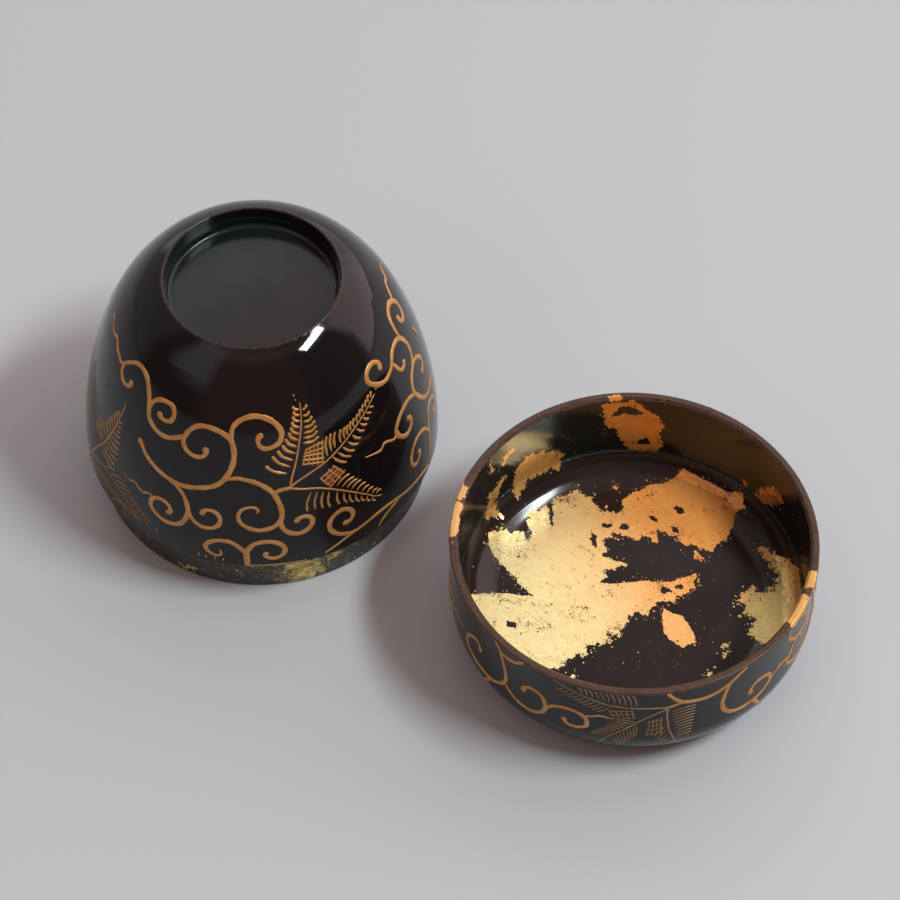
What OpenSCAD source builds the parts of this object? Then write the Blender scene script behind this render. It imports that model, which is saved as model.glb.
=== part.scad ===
// Lacquered tea caddy, laid out as two turned pieces on a table.
// The body stands on its mouth, foot up. The lid lies beside it on its top, mouth up.
// Millimetres, +Z up, origin on the table midway between the two axes, +X towards the lid.

/* [Body] */
// Largest outside radius of body and lid
outer_r = 33; // [28:0.5:40]
// Height of the mouth collar that the lid slides over
collar_h = 9.1; // [6:0.1:14]
// Outside radius of the collar at the shoulder
collar_r = 31.15; // [28:0.05:32]
// How much narrower the collar is at its lip
collar_taper = 0.3; // [0:0.05:1]
// Inside radius of the mouth
mouth_r = 29.2; // [26:0.1:30]
// Radius of the long curve above the shoulder
side_r = 80; // [60:1:120]
// Turn of that curve in degrees
side_turn = 21.5; // [15:0.5:25]
// Radius of the middle curve
hip_r = 33.8; // [25:0.1:45]
// Turn of the middle curve in degrees
hip_turn = 19.4; // [12:0.1:25]
// Radius of the curve that runs in to the foot
heel_r = 16.8; // [12:0.1:24]
// Turn of that curve in degrees
heel_turn = 22.3; // [15:0.1:30]

/* [Foot] */
// Width of the foot's standing edge
foot_edge = 0.55; // [0.4:0.05:2]
// Depth from the standing edge to the ledge
ledge_depth = 2.2; // [1:0.1:3]
// Width of the ledge
ledge_w = 0.35; // [0.2:0.05:1]
// Depth from the standing edge to the recessed floor
recess_depth = 4.2; // [3:0.1:5]

/* [Lid] */
// Height of the lid
lid_h = 25; // [18:0.5:32]
// Inside radius of the lid
lid_bore_r = 31.4; // [30:0.05:32.4]
// Radius of the rounded shoulder
shoulder_r = 10.5; // [6:0.5:18]
// Turn of the shoulder in degrees
shoulder_turn = 74; // [60:1:85]
// Radius of the slight crown between shoulder and flat top
crown_r = 24; // [15:1:60]
// Thickness under the inside floor, from the flat top
lid_floor = 6; // [3:0.1:8]
// Fillet between the inside floor and the wall
lid_fillet = 3.4; // [1:0.1:6]

/* [Layout] */
// Distance between the two axes on the table
spacing = 78; // [70:0.5:120]

/* [Hidden] */
$fn = 180;
edge_round = 0.4;
// Ends of the three outside curves of the body, each tangent to the one before
side_c = [outer_r - side_r, collar_h + edge_round];
side_end = side_c + side_r * [cos(side_turn), sin(side_turn)];
hip_c = side_end - hip_r * [cos(side_turn), sin(side_turn)];
hip_end = hip_c + hip_r * [cos(side_turn + hip_turn), sin(side_turn + hip_turn)];
heel_c = hip_end - heel_r * [cos(side_turn + hip_turn), sin(side_turn + hip_turn)];
all_turn = side_turn + hip_turn + heel_turn;
foot_p = heel_c + heel_r * [cos(all_turn), sin(all_turn)];
foot_r = foot_p[0];
// The standing edge: a small round between the heel's last slope and the recess wall
edge_r = 0.28;
foot_in_r = foot_r - foot_edge;
slope_n = [cos(all_turn), sin(all_turn)];
edge_c = [foot_in_r + edge_r, foot_p[1] + ((foot_r - foot_in_r - edge_r) * slope_n[0] - edge_r) / slope_n[1]];
body_h = edge_c[1] + edge_r;
// Inside of the body: straight wall, long curve, tight curve, flat end
in_side_r = 66;
in_side_z = 16;
in_turn = 20;
in_side_c = [mouth_r - in_side_r, in_side_z];
in_end = in_side_c + in_side_r * [cos(in_turn), sin(in_turn)];
in_heel_r = 9.5;
in_heel_c = in_end - in_heel_r * [cos(in_turn), sin(in_turn)];
in_floor_z = in_heel_c[1] + in_heel_r;
lip_round = 0.7;
// Lid curves
sh_c = [outer_r - shoulder_r, shoulder_r * sin(shoulder_turn) + crown_r * (1 - sin(shoulder_turn))];
sh_end = sh_c + shoulder_r * [cos(shoulder_turn), -sin(shoulder_turn)];
cr_c = [sh_end[0] - crown_r * cos(shoulder_turn), crown_r];
rim_round = 0.3;

// The part of a disc between two angles, as a wedge from its centre
module slice(c, r, a0, a1) {
  far = r * 1.25;
  intersection() {
    translate(c) circle(r = r);
    polygon([c, c + far * [cos(a0), sin(a0)], c + far * [cos((a0 + a1) / 2), sin((a0 + a1) / 2)], c + far * [cos(a1), sin(a1)]]);
  }
}

// Half section inside the body's outside curves, from the shoulder to the foot
module body_outline() {
  polygon([
    [0, collar_h], [outer_r - edge_round, collar_h], [outer_r, collar_h + edge_round],
    side_end, hip_end, foot_p, edge_c + edge_r * slope_n, edge_c, [0, edge_c[1]]
  ]);
  translate(edge_c) circle(r = edge_r);
  intersection() {
    union() {
      slice(side_c, side_r, 0, side_turn);
      slice(hip_c, hip_r, side_turn, side_turn + hip_turn);
      slice(heel_c, heel_r, side_turn + hip_turn, all_turn);
      translate([outer_r - edge_round, collar_h + edge_round]) circle(r = edge_round);
    }
    translate([5, collar_h]) square([outer_r, body_h - collar_h]);
  }
}

// Half section of the hollow in the body
module body_hollow() {
  translate([0, -1]) square([mouth_r, in_side_z + 1]);
  polygon([[0, in_side_z - 1], [mouth_r, in_side_z - 1], [mouth_r, in_side_z], in_end, [in_heel_c[0], in_floor_z], [0, in_floor_z]]);
  intersection() {
    union() {
      slice(in_side_c, in_side_r, 0, in_turn);
      slice(in_heel_c, in_heel_r, in_turn, 90);
    }
    translate([5, in_side_z]) square([outer_r, body_h]);
  }
}

// Half section of the stepped recess inside the foot
module foot_recess() {
  r1 = foot_in_r;
  r2 = r1 - ledge_w;
  translate([0, body_h - ledge_depth]) square([r1, ledge_depth + 1]);
  translate([0, body_h - recess_depth + 0.8]) square([r2, recess_depth]);
  translate([0, body_h - recess_depth]) square([r2 - 0.8, 1]);
  translate([r2 - 0.8, body_h - recess_depth + 0.8]) circle(r = 0.8);
}

module body_shell() {
  color([0.05, 0.05, 0.05])
    translate([-spacing / 2, 0, 0])
    rotate_extrude()
      difference() {
        body_outline();
        body_hollow();
        foot_recess();
      }
}

module mouth_collar() {
  color([0.35, 0.3, 0.2])
    translate([-spacing / 2, 0, 0])
    rotate_extrude()
      union() {
        polygon([
          [mouth_r, lip_round], [collar_r - collar_taper, lip_round],
          [collar_r, collar_h], [mouth_r, collar_h]
        ]);
        translate([mouth_r + lip_round, 0])
          square([collar_r - collar_taper - mouth_r - 2 * lip_round, 1]);
        translate([mouth_r + lip_round, lip_round]) circle(r = lip_round);
        translate([collar_r - collar_taper - lip_round, lip_round]) circle(r = lip_round);
      }
}

module lid_shell() {
  color([0.06, 0.05, 0.05])
    translate([spacing / 2, 0, 0])
      rotate_extrude()
        difference() {
          union() {
            polygon([
              [0, 0], [cr_c[0], 0], sh_end, [outer_r, sh_c[1]],
              [outer_r, lid_h - rim_round], [outer_r - rim_round, lid_h], [0, lid_h]
            ]);
            intersection() {
              union() {
                slice(sh_c, shoulder_r, -shoulder_turn, 0);
                slice(cr_c, crown_r, -90, -shoulder_turn);
                translate([outer_r - rim_round, lid_h - rim_round]) circle(r = rim_round);
              }
              translate([5, 0]) square([outer_r, lid_h]);
            }
          }
          translate([0, lid_floor + lid_fillet]) square([lid_bore_r, lid_h]);
          translate([0, lid_floor]) square([lid_bore_r - lid_fillet, lid_fillet + 1]);
          translate([lid_bore_r - lid_fillet, lid_floor + lid_fillet]) circle(r = lid_fillet);
          polygon([
            [lid_bore_r - 1, lid_h - 0.5], [lid_bore_r, lid_h - 0.5],
            [lid_bore_r + 0.5, lid_h], [lid_bore_r + 0.5, lid_h + 1], [lid_bore_r - 1, lid_h + 1]
          ]);
        }
}

body_shell();
mouth_collar();
lid_shell();
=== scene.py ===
import math
import bpy
import numpy as np
from mathutils import Matrix, Vector
from mathutils.geometry import delaunay_2d_cdt


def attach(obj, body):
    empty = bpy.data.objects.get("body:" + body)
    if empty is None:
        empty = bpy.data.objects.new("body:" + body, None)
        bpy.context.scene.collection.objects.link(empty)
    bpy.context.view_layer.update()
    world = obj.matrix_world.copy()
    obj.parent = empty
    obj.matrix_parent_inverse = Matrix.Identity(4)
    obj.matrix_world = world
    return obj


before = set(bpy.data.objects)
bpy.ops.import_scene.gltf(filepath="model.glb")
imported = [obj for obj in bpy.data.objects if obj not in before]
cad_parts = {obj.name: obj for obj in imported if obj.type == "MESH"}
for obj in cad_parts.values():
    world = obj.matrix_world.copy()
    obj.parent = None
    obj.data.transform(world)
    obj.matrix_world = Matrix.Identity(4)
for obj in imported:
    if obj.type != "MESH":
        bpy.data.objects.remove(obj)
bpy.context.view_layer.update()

# ---------------------------------------------------------------------------------------------
# Table, light and camera. The caddy stands open on a plain pale table top, lit by one soft strip
# lamp at the upper right and by the pale walls of the room, and is seen from above the front.


def nodes_of(tree):
    """Returns add(kind, inputs, **settings), which puts one node into the tree and gives its outputs.
    An input is a number, a colour or another node's output."""
    def add(kind, inputs=None, **settings):
        made = tree.nodes.new("ShaderNode" + kind)
        for name, value in settings.items():
            setattr(made, name, value)
        for name, value in (inputs or {}).items():
            if isinstance(value, bpy.types.NodeSocket):
                tree.links.new(value, made.inputs[name])
            else:
                made.inputs[name].default_value = value
        return made.outputs
    return add


def maths(add, how, a, b=0.0, c=0.0):
    """One sum on numbers."""
    return add("Math", {0: a, 1: b, 2: c}, operation=how)[0]


def ease(add, value, low, high, to_low=0.0, to_high=1.0):
    """0 below low, 1 above high, and t*t*(3-2t) between them."""
    return add("MapRange", {0: value, 1: low, 2: high, 3: to_low, 4: to_high},
               interpolation_type="SMOOTHSTEP")[0]


def finish(name, colour, rough, metal=0.0, mirror=0.5):
    """A material of one Principled shader. Returns it with its add() and a join() that feeds a socket."""
    made = bpy.data.materials.new(name)
    made.use_nodes = True
    shader = made.node_tree.nodes["Principled BSDF"]
    for socket, value in (("Base Color", colour), ("Roughness", rough), ("Metallic", metal),
                          ("Specular IOR Level", mirror)):
        shader.inputs[socket].default_value = value

    def join(**sockets):
        for socket, value in sockets.items():
            made.node_tree.links.new(value, shader.inputs[socket.replace("_", " ")])
    return made, nodes_of(made.node_tree), join


def band(add, value, low, high, soft):
    """1 between two angles given in degrees and 0 outside them, changing over soft degrees either side."""
    away = maths(add, "ABSOLUTE", maths(add, "SUBTRACT", value, math.radians((low + high) / 2)))
    half = (high - low) / 2
    return ease(add, away, math.radians(half - soft), math.radians(half + soft), 1, 0)


camera = bpy.data.objects.new("camera", bpy.data.cameras.new("camera"))
bpy.context.scene.collection.objects.link(camera)
bpy.context.scene.camera = camera
# In radians: turned from +Y, dipped below level, and tilted about the line of sight.
turn, dip, tilt = -0.5244, -0.9336, -0.0156
stand = Vector((0.19372, -0.34094, 0.5546))
ahead = Vector((math.sin(turn) * math.cos(dip), math.cos(turn) * math.cos(dip), math.sin(dip)))
right = Vector((math.cos(turn), -math.sin(turn), 0))
over = right.cross(ahead)
right, over = (math.cos(tilt) * right + math.sin(tilt) * over,
               math.cos(tilt) * over - math.sin(tilt) * right)
camera.matrix_world = Matrix.Translation(stand) @ Matrix((right, over, -ahead)).transposed().to_4x4()
camera.data.lens = 145.2
camera.data.sensor_width = 36
camera.data.shift_x = 0.0259
camera.data.shift_y = 0.0049
camera.data.clip_start = 0.01
bpy.context.scene.view_settings.view_transform = "Standard"

reach = 4
top = bpy.data.meshes.new("table")
top.from_pydata([(-reach, -reach, 0), (reach, -reach, 0), (reach, reach, 0), (-reach, reach, 0)], [],
                [(0, 1, 2, 3)])
top.materials.append(finish("table_top", (0.428, 0.447, 0.459, 1), 0.55, 0, 0.2)[0])
table = bpy.data.objects.new("table", top)
bpy.context.scene.collection.objects.link(table)

lamp = bpy.data.lights.new("strip_lamp", "AREA")
lamp.shape, lamp.size, lamp.size_y = "RECTANGLE", 0.56, 0.17
lamp.energy = 18
lamp.color = (0.91, 0.99, 1.02)
strip = bpy.data.objects.new("strip_lamp", lamp)
bpy.context.scene.collection.objects.link(strip)
lamp_side, lamp_up, lamp_far = math.radians(15), math.radians(56), 1.5      # bearing, height, distance
strip.location = (lamp_far * math.cos(lamp_up) * math.cos(lamp_side),
                  lamp_far * math.cos(lamp_up) * math.sin(lamp_side), lamp_far * math.sin(lamp_up))
strip.rotation_euler = (math.pi / 2 - lamp_up, 0, lamp_side + math.pi / 2)

# The room: soft-edged bright areas on a dim warm ground, each with its bearing from and to, its height
# above the table from and to, and its softness, all in degrees, and its colour.
room = bpy.data.worlds.new("room")
bpy.context.scene.world = room
room.use_nodes = True
add = nodes_of(room.node_tree)
way = add("SeparateXYZ", {0: add("TexCoord")["Generated"]})
height = maths(add, "ARCSINE", way[2])
bearing = maths(add, "ARCTAN2", way[1], way[0])
glow = (0.155, 0.105, 0.09)
for low_b, high_b, low_h, high_h, soft, colour in (
        (84, 152, -8, 30, 3, (0.82, 0.87, 0.97)),
        (76, 152, 30, 53, 3, (1.5, 1.56, 1.62)),
        (32, 84, -8, 30, 6, (1.80, 1.44, 1.50)),
        (32, 76, 30, 50, 6, (1.88, 1.5, 1.53)),
        (-132, -98, 20, 64, 8, (0.75, 0.75, 0.78)),
        (150, 190, -5, 70, 9, (0.25, 0.26, 0.28)),
        (-190, -150, -5, 70, 9, (0.25, 0.26, 0.28)),
        (-100, -20, -10, 72, 10, (0.20, 0.09, 0.08)),
        (-400, 400, 57, 130, 3, (0.33, 0.22, 0.185))):
    share = maths(add, "MULTIPLY", band(add, bearing, low_b, high_b, soft),
                  band(add, height, low_h, high_h, soft))
    area = add("VectorMath", {0: colour, 3: share}, operation="SCALE")[0]
    glow = add("VectorMath", {0: glow, 1: area}, operation="ADD")[0]
room.node_tree.links.new(glow, room.node_tree.nodes["Background"].inputs["Color"])

# ---------------------------------------------------------------------------------------------
# Body. A cup turned from thin wood and coated with many layers of black lacquer, polished to a
# mirror. It stands on its mouth. The foot's standing edge has rubbed brown.

BODY_X = -0.039


def axis_place(add, centre_x=0.0):
    """Position about a turned piece's own axis, in millimetres, as a vector."""
    return add("Mapping", {0: add("TexCoord")["Object"], 1: (-1000 * centre_x, 0, 0),
                           3: (1000, 1000, 1000)})[0]


def out_and_up(add, place):
    """Distance from the axis, sqrt(x^2 + y^2), and height."""
    part = add("SeparateXYZ", {0: place})
    squares = [maths(add, "MULTIPLY", part[i], part[i]) for i in (0, 1)]
    return maths(add, "SQRT", maths(add, "ADD", *squares)), part[2]


def blend_colour(add, share, first, second):
    """first * (1 - share) + second * share."""
    return add("Mix", {0: share, 6: first, 7: second}, data_type="RGBA")[2]


def polish(add, join, place, colour, worn, worn_share, dull, dish=0.0):
    """Old polished lacquer: the ground colour goes over to the worn colour where worn_share is 1. The
    gloss is broken by clouds of dulling, fine hairlines and dust, and is lower by dull where the polishing
    tool didn't reach. The surface swells very slightly, and rises by dish millimetres."""
    clouds = add("TexNoise", {"Vector": place, "Scale": 0.09, "Detail": 5, "Roughness": 0.6})[0]
    stretched = add("Mapping", {0: place, 2: (0.4, 0.2, 0.9), 3: (9, 0.35, 2.2)})[0]
    lines = add("TexNoise", {"Vector": stretched, "Scale": 0.9, "Detail": 3})[0]
    hair = ease(add, lines, 0.66, 0.72)
    grain = add("TexNoise", {"Vector": place, "Scale": 3.5, "Detail": 2})[0]
    dust = ease(add, grain, 0.74, 0.80)
    rough = ease(add, clouds, 0.35, 0.7, 0.045, 0.13)
    for more in (maths(add, "MULTIPLY", hair, 0.06), dull, maths(add, "MULTIPLY", worn_share, 0.28)):
        rough = maths(add, "ADD", rough, more)
    shade = blend_colour(add, maths(add, "MULTIPLY", dust, 0.05), colour, (0.45, 0.43, 0.4, 1))
    shade = blend_colour(add, worn_share, shade, worn)
    swell = add("TexNoise", {"Vector": place, "Scale": 0.16, "Detail": 2})[0]
    height = maths(add, "ADD", maths(add, "MULTIPLY", swell, 0.0035), maths(add, "MULTIPLY", grain, 0.00042))
    height = maths(add, "ADD", height, dish)
    bump = add("Bump", {"Strength": 1, "Distance": 0.001, "Height": height})[0]
    join(Base_Color=shade, Roughness=rough, Normal=bump)


black, add, join = finish("black_lacquer_polished", (0.006, 0.0055, 0.0055, 1), 0.06, 0, 0.31)
place = axis_place(add, BODY_X)
out, up = out_and_up(add, place)
ragged = add("TexNoise", {"Vector": place, "Scale": 0.8, "Detail": 4})[0]
# The standing edge is the highest 0.2 mm, outside the recess, whose wall is about 15.9 mm from the axis.
edge_ring = maths(add, "MULTIPLY", ease(add, up, 52.42, 52.6), ease(add, out, 15.4, 15.8))
rub = maths(add, "MULTIPLY", edge_ring, ease(add, ragged, 0.3, 0.65, 0.1, 0.6))
recess = maths(add, "MULTIPLY", ease(add, out, 15.95, 15.75), ease(add, up, 48, 48.3))
# The recess is duller, and painted cold on one side going over to brownish on the other: painted reflection.
across = add("VectorMath", {0: place, 1: (0.97, -0.26, 0)}, operation="DOT_PRODUCT")[1]
recess_painted_reflection = blend_colour(add, ease(add, across, -12, 12), (0.006, 0.0105, 0.0112, 1),
                    (0.0092, 0.0018, 0.0024, 1))
ground = blend_colour(add, recess, (0.0062, 0.0046, 0.0046, 1), recess_painted_reflection)
polish(add, join, place, ground, (0.05, 0.023, 0.014, 1), rub, maths(add, "MULTIPLY", recess, 0.11))
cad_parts["body_shell"].material_slots[0].material = black

# ---------------------------------------------------------------------------------------------
# Mouth collar. A thin ring standing below the shoulder, turned with the body, lacquered and dusted
# with gold and silver powder. The lid's sliding has worn the powder to mottled remains.


def near_bearing(add, angle, centre, reach):
    """1 at that bearing, falling smoothly to 0 at reach degrees from it, round the circle."""
    away = maths(add, "ABSOLUTE", maths(add, "WRAP", maths(add, "SUBTRACT", angle, centre), 180, -180))
    return ease(add, away, 0, reach, 1, 0)


dusted, add, join = finish("collar_dust_worn", (0.03, 0.03, 0.025, 1), 0.3)
place = axis_place(add, BODY_X)
part = add("SeparateXYZ", {0: place})
angle = maths(add, "MULTIPLY", maths(add, "ARCTAN2", part[1], part[0]), 180 / math.pi)
coarse = add("TexNoise", {"Vector": place, "Scale": 0.55, "Detail": 6, "Roughness": 0.7})[0]
fine = add("TexNoise", {"Vector": place, "Scale": 6.0, "Detail": 3, "Roughness": 0.7})[0]
flat = add("Mapping", {0: place, 3: (1, 1, 0.35)})[0]
streak = add("TexNoise", {"Vector": flat, "Scale": 1.6, "Detail": 4, "Roughness": 0.75})[0]
veil = ease(add, coarse, 0.40, 0.72)
gold_amount = maths(add, "MULTIPLY", veil, 0.25)
for centre, reach, much in ((-45, 20, 0.30), (20, 34, 0.16)):
    gold_amount = maths(add, "ADD", gold_amount,
                        maths(add, "MULTIPLY", near_bearing(add, angle, centre, reach), much))
gold = ease(add, maths(add, "ADD", maths(add, "ADD", fine, maths(add, "MULTIPLY", streak, 0.5)),
                       gold_amount), 1.03, 1.14)
silver = maths(add, "MULTIPLY", ease(add, add("TexNoise", {"Vector": place, "Scale": 8.0, "Detail": 2})[0],
                                     0.66, 0.72), near_bearing(add, angle, -25, 28))
shade = blend_colour(add, veil, (0.014, 0.013, 0.011, 1), (0.06, 0.058, 0.040, 1))
shade = blend_colour(add, gold, shade, (0.62, 0.47, 0.17, 1))
shade = blend_colour(add, silver, shade, (0.45, 0.5, 0.55, 1))
bump = add("Bump", {"Strength": 0.3, "Distance": 0.001, "Height": maths(
    add, "ADD", maths(add, "MULTIPLY", gold, 0.02), maths(add, "MULTIPLY", streak, 0.02))})[0]
join(Base_Color=shade, Metallic=maths(add, "MULTIPLY", maths(add, "MAXIMUM", gold, silver), 0.75),
     Roughness=maths(add, "ADD", 0.22, maths(add, "MULTIPLY", coarse, 0.3)), Normal=bump)
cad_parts["mouth_collar"].material_slots[0].material = dusted

# ---------------------------------------------------------------------------------------------
# Lid. Turned like the body, with a rounded shoulder, and lying here on its flat top. Its rim has
# lost its lacquer to handling, down to a brown ground with bright scratches.

LID_X = 0.039
lid_coat, add, join = finish("lid_lacquer_rim_worn", (0.01, 0.008, 0.008, 1), 0.08, 0, 0.31)
place = axis_place(add, LID_X)
out, up = out_and_up(add, place)
ragged = add("TexNoise", {"Vector": place, "Scale": 1.1, "Detail": 5, "Roughness": 0.65})[0]
rub = ease(add, maths(add, "ADD", up, maths(add, "MULTIPLY", ragged, 0.9)), 24.85, 25.05)
ring = add("Mapping", {0: place, 3: (0.25, 0.25, 8)})[0]
scuff = add("TexNoise", {"Vector": place, "Scale": 2.2, "Detail": 6, "Roughness": 0.75})[0]
hoops = add("TexNoise", {"Vector": ring, "Scale": 1.0, "Detail": 3})[0]
rim_shade = blend_colour(add, ease(add, scuff, 0.35, 0.62), (0.027, 0.013, 0.008, 1),
                         (0.093, 0.047, 0.028, 1))
rim_shade = blend_colour(add, ease(add, hoops, 0.5, 0.62, 0, 0.45), rim_shade, (0.03, 0.016, 0.01, 1))
rim_shade = blend_colour(add, ease(add, scuff, 0.66, 0.72), rim_shade, (0.45, 0.28, 0.15, 1))
within = maths(add, "MULTIPLY", ease(add, out, 31.6, 31.3), ease(add, up, 5, 5.5))
wall = maths(add, "MULTIPLY", within, ease(add, up, 8, 10))
# Inside, the lacquer is painted a lighter warm brown, and greenish on the wall: painted reflection.
ground = blend_colour(add, within, (0.0055, 0.005, 0.0055, 1), (0.021, 0.0135, 0.0118, 1))
ground = blend_colour(add, wall, ground, (0.0095, 0.0125, 0.0115, 1))
# The floor's shine turns up towards the wall, as over a wide shallow dish.
floor = maths(add, "MULTIPLY", within, ease(add, up, 9.6, 9.2))
polish(add, join, place, ground, rim_shade, rub, ease(add, within, 0, 1, 0.02, 0.07),
       maths(add, "MULTIPLY", floor, ease(add, out, 23.9, 31.4, 0, 2.7)))
join(Specular_Tint=blend_colour(add, wall, (1, 1, 1, 1), (0.45, 0.8, 1, 1)))
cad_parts["lid_shell"].material_slots[0].material = lid_coat

# ---------------------------------------------------------------------------------------------
# Vines on the body. Scrolls drawn with a fine brush in lacquer, built up to a low dome, dusted with
# gold powder while wet and burnished. Each stroke is laid straight on the black ground.


def turned(run, radius, straight, arcs):
    """A turned outline at a distance run along it, in millimetres: straight up for the first part, then
    arcs of (radius, degrees) that lean inwards, each tangent to the last. On an arc about a centre c,
    (r, z) = c + R (cos a, sin a), and a is also the outward slope. Returns r, z and a."""
    run = np.asarray(run, float)
    r, z, a = np.full(run.shape, float(radius)), np.minimum(run, straight), np.zeros(run.shape)
    passed, slope, corner = straight, 0.0, np.array([radius, straight])
    for bend, degrees in arcs:
        centre = corner - bend * np.array([math.cos(slope), math.sin(slope)])
        on = run > passed
        here = slope + np.minimum((run - passed) / bend, math.radians(degrees))
        r = np.where(on, centre[0] + bend * np.cos(here), r)
        z = np.where(on, centre[1] + bend * np.sin(here), z)
        a = np.where(on, here, a)
        slope += math.radians(degrees)
        passed += bend * math.radians(degrees)
        corner = centre + bend * np.array([math.cos(slope), math.sin(slope)])
    return r, z, a


MM = 0.001
FRONT = -60         # bearing of the middle of the front, in degrees from +X
COLLAR_H = 9.1      # height of the shoulder above the table, which is the collar's height


def around(centre_x, angle, r, z):
    """The point at distance r and height z on a turned piece, in metres. Angles run to the right, with 0
    at the middle of the front."""
    bearing = np.radians(angle + FRONT)
    return MM * np.stack([centre_x / MM + r * np.cos(bearing), r * np.sin(bearing), z], -1)


def body_outline(run):
    """The body's outside from the shoulder's edge to the foot: three arcs of the solid."""
    return turned(run, 33, 0.4, ((80, 21.5), (33.8, 19.4), (16.8, 22.3)))


def body_side(angle, run, lift):
    """The body's outside by angle and distance up from the shoulder edge, lifted square to it."""
    r, z, a = body_outline(run)
    return around(BODY_X, angle, r + lift * np.cos(a), COLLAR_H + z + lift * np.sin(a))


def smooth_path(points):
    """A Catmull-Rom curve: from b to c, with t from 0 to 1, it is
    (2b + (c-a)t + (2a-5b+4c-d)t^2 + (3b-a-3c+d)t^3) / 2."""
    p = np.array(points, float)
    p = np.vstack([2 * p[0] - p[1], p, 2 * p[-1] - p[-2]])
    a, b, c, d = (p[i:len(p) - 3 + i, None] for i in range(4))
    t = np.linspace(0, 1, 16, endpoint=False)[None, :, None]
    curve = (2 * b + (c - a) * t + (2 * a - 5 * b + 4 * c - d) * t ** 2
             + (3 * b - a - 3 * c + d) * t ** 3) / 2
    return np.vstack([curve.reshape(-1, 2), p[-2]])


def stroke(points, width, side, ends=(0.8, 0.8), knobs=(0, 0), proud=0.14, step=0.4, across=7):
    """One brushed line, closed all round: a dome of height proud * sqrt(1 - x^2) for x from -1 to 1,
    carried along a smooth path on the surface. ends scale the width at the two tips, knobs swell them
    into a drop, and each tip closes as a half circle."""
    surface, radius = side
    path = smooth_path(points)
    r = radius(path[:, 1])
    move = np.diff(path, axis=0) * np.column_stack([np.radians((r[1:] + r[:-1]) / 2), np.ones(len(r) - 1)])
    dist = np.concatenate([[0], np.cumsum(np.hypot(*move.T))])
    long = dist[-1]
    cap = min(width * 0.5, long / 3)
    curl = cap * (1 - np.cos(np.radians((8, 35, 62) if across > 3 else (12, 50))))
    rows = max(int((long - 2 * cap) / step), 1)
    at = np.concatenate([curl, np.linspace(cap, long - cap, rows + 1), (long - curl)[::-1]])
    x, y = np.interp(at, dist, path[:, 0]), np.interp(at, dist, path[:, 1])
    scale = np.radians(radius(y))
    along = np.column_stack([np.gradient(x, at) * scale, np.gradient(y, at)])
    along /= np.linalg.norm(along, axis=1)[:, None]
    half = width / 2 * np.interp(at / long, (0, 0.3, 0.65, 1), (ends[0], 1, 1, ends[1]))
    half *= 1 + 0.07 * np.sin(at * 2.1 + points[0][0]) + 0.05 * np.sin(at * 5.3 + points[0][1])
    for knob, gap in zip(knobs, (at, long - at)):
        half += knob * width * 0.32 * np.exp(-((gap - 0.55 * width) / (0.6 * width)) ** 2)
    nose = np.sqrt(np.clip(1 - (1 - np.clip(np.minimum(at, long - at) / cap, 0, 1)) ** 2, 0.0004, 1))
    top = np.sin(np.linspace(-1, 1, across) * math.pi / 2)
    offset = np.concatenate([top, (0.7, -0.7) if across > 3 else (0,)])
    skirt, under = -0.02, -0.05     # below the surface: the dome's edge, and the closing face
    dome = np.concatenate([skirt + (proud - skirt) * np.sqrt(1 - top ** 2),
                           (under, under) if across > 3 else (under,)])
    wide = (half * nose)[:, None] * offset
    points3 = surface(x[:, None] - along[:, 1:] * wide / scale[:, None], y[:, None] + along[:, :1] * wide,
                      np.where(dome > 0, dome * nose[:, None], dome))
    n, m = points3.shape[:2]
    i, j = np.meshgrid(np.arange(n - 1), np.arange(m), indexing="ij")
    k = (j + 1) % m
    quads = np.stack([i * m + j, (i + 1) * m + j, (i + 1) * m + k, i * m + k], -1).reshape(-1, 4)
    faces = quads.tolist() + [list(range(m)), list(range((n - 1) * m, n * m))[::-1]]
    edge = np.broadcast_to(np.abs(np.concatenate([top, np.ones(m - across)])), (n, m))
    if not right_handed(surface, x[0], y[0]):
        faces = [face[::-1] for face in faces]
    return points3.reshape(-1, 3), faces, edge.ravel()


def right_handed(surface, u, v):
    """Whether (u, v, lift) turn like (x, y, z) on that surface, which says which way faces must wind."""
    base = surface(u, v, 0.0)
    steps = [surface(u + 0.01, v, 0.0) - base, surface(u, v + 0.01, 0.0) - base, surface(u, v, 0.01) - base]
    return np.linalg.det(np.array(steps)) > 0


def piece(name, shells, material, body, smooth=True):
    """Joins closed shells of (points, faces, edge) in one object that rides on a body. edge is kept as a
    point attribute: 1 at a line's or a leaf's edge, 0 inside."""
    start = np.cumsum([0] + [len(s[0]) for s in shells])
    faces = [[v + first for v in face] for first, s in zip(start.tolist(), shells) for face in s[1]]
    mesh = bpy.data.meshes.new(name)
    mesh.from_pydata(np.vstack([s[0] for s in shells]).tolist(), [], faces)
    mesh.attributes.new("edge", "FLOAT", "POINT").data.foreach_set(
        "value", np.concatenate([s[2] for s in shells]).astype(np.float32))
    mesh.polygons.foreach_set("use_smooth", [smooth] * len(faces))
    mesh.materials.append(material)
    made = bpy.data.objects.new(name, mesh)
    bpy.context.scene.collection.objects.link(made)
    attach(made, body)
    return made


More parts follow.
